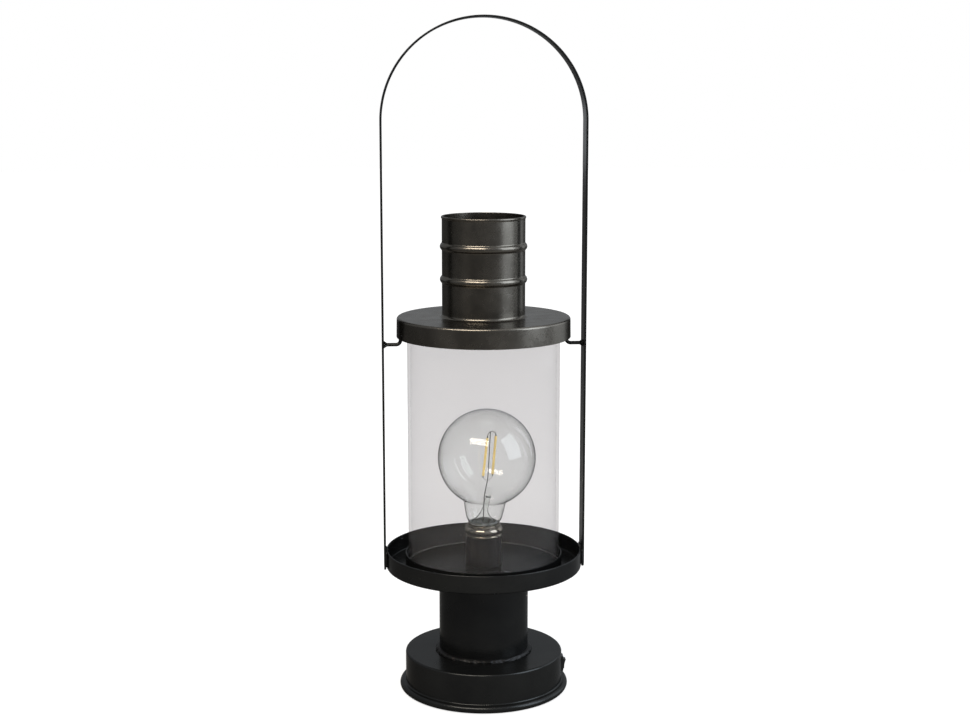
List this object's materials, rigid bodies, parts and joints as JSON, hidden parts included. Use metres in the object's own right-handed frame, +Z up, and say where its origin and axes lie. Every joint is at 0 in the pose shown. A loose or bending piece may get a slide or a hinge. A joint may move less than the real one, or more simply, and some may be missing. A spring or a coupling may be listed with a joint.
{
  "type": "lantern table lamp",
  "caption": "Lantern-shaped table lamp: strap handle over a lift-off cap with chimney, glass cylinder, globe bulb, tray, column and round base with a rocker switch.",
  "frame": {"origin": "middle of the underside, on the surface that the lamp stands on", "axes": "+Z up, +X towards the rocker switch with the strap handle in the XZ plane, +Y towards the cord inlet at the back"},
  "size_m": [0.1948, 0.1902, 0.6505],
  "materials": {
    "black_steel": "satin black paint with a faint cloudy bronze cast",
    "weld_steel": "rough painted weld",
    "bronze_steel": "burnished dark bronze lacquer",
    "sleeve_black": "satin black",
    "nickel": "bright nickel plate",
    "zinc_steel": "bright zinc plate",
    "brass": "plain brass",
    "solder": "dull solder",
    "ceramic_white": "unglazed steatite",
    "clear_glass": "clear",
    "bulb_glass": "clear, thin",
    "black_glass": "opaque black glass",
    "filament": "amber phosphor coat",
    "support_wire": "dull wire",
    "circuit_board": "circuit board",
    "switch_black": "semi-gloss moulded black",
    "rubber": "matt black rubber",
    "felt": "black felt",
    "block_plastic": "natural nylon",
    "lead_brown": "brown insulation",
    "lead_blue": "blue insulation"
  },
  "bodies": {
    "lamp_frame": {"base_pan": "black_steel", "base_cover": "black_steel", "felt_pad": "felt", "cover_lugs": "black_steel", "cover_screws": "zinc_steel", "column": "black_steel", "tray": "black_steel", "glass_gallery": "black_steel", "handle_strap": "black_steel", "handle_welds": "weld_steel", "cap_arm_left": "black_steel", "cap_arm_right": "black_steel", "holder_sleeve": "sleeve_black", "holder_rim_ring": "nickel", "holder_core": "ceramic_white", "holder_screw_shell": "brass", "holder_centre_contact": "brass", "holder_terminal_screws": "brass", "holder_nipple": "zinc_steel", "nipple_washer": "zinc_steel", "nipple_nuts": "zinc_steel", "switch_housing": "switch_black", "switch_terminals": "brass", "cord_grommet": "rubber", "terminal_block": "block_plastic", "lead_live": "lead_brown", "lead_neutral": "lead_blue"},
    "glass": {"glass_cylinder": "clear_glass"},
    "cap": {"cap": "bronze_steel", "chimney": "bronze_steel"},
    "bulb": {"bulb_glass": "bulb_glass", "bulb_cap": "nickel", "bulb_insulator": "black_glass", "bulb_contact": "solder", "bulb_stem": "bulb_glass", "bulb_filaments": "filament", "bulb_support_wires": "support_wire", "bulb_driver": "circuit_board"},
    "rocker": {"switch_rocker": "switch_black"}
  },
  "joints": [
    {"name": "glass_lift", "type": "slide", "parent": "lamp_frame", "child": "glass", "axis": [0, 0, 1], "range_m": [0, 0.07]},
    {"name": "cap_lift", "type": "slide", "parent": "glass", "child": "cap", "axis": [0, 0, 1], "range_m": [0, 0.1]},
    {"name": "bulb_unscrew", "type": "slide", "parent": "lamp_frame", "child": "bulb", "axis": [0, 0, 1], "range_m": [0, 0.028]},
    {"name": "switch_toggle", "type": "hinge", "parent": "lamp_frame", "child": "rocker", "pos_m": [0.0753, 0, 0.0207], "axis": [0, -1, 0], "range_deg": [0, 20]}
  ]
}
